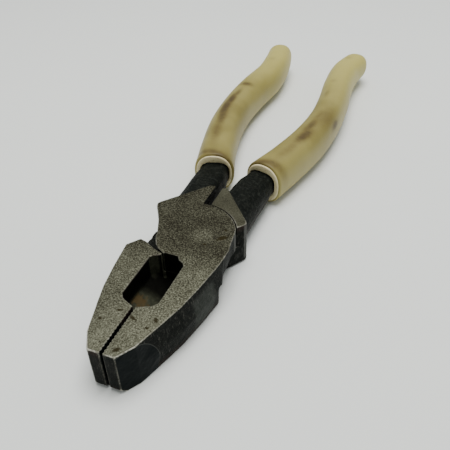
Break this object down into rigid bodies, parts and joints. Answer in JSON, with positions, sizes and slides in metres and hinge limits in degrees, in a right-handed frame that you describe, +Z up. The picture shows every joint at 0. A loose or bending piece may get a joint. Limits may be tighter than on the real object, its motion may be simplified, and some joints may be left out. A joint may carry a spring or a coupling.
{
  "type": "lineman pliers",
  "caption": "Lineman pliers: lapped black forgings with a ground head, flat gripping nose, side-cutting window, flush rivet and layered dipped handle grips.",
  "frame": {"origin": "on the rivet's axis, at the head's flat underside", "axes": "+Y runs from the rivet towards the handles, -Y towards the jaws, +Z up through the head, +X to the right handle"},
  "size_m": [0.0575, 0.2365, 0.0179],
  "materials": {
    "black_oxide_steel": "forged and black oxided, with ground bare faces on the head",
    "ground_rivet_steel": "ground flush and dull",
    "cream_inner_vinyl": "smooth, matte",
    "aged_outer_vinyl": "yellowed, slightly see-through, satin"
  },
  "bodies": {
    "lower_forging": {"lower_lap_half": "black_oxide_steel", "pivot_rivet": "ground_rivet_steel", "right_inner_sleeve": "cream_inner_vinyl", "right_outer_grip": "aged_outer_vinyl"},
    "upper_forging": {"upper_lap_half": "black_oxide_steel", "left_inner_sleeve": "cream_inner_vinyl", "left_outer_grip": "aged_outer_vinyl"}
  },
  "joints": [
    {"name": "pivot", "type": "hinge", "parent": "lower_forging", "child": "upper_forging", "pos_m": [0, 0, 0], "axis": [0, 0, 1], "range_deg": [0, 30]}
  ]
}
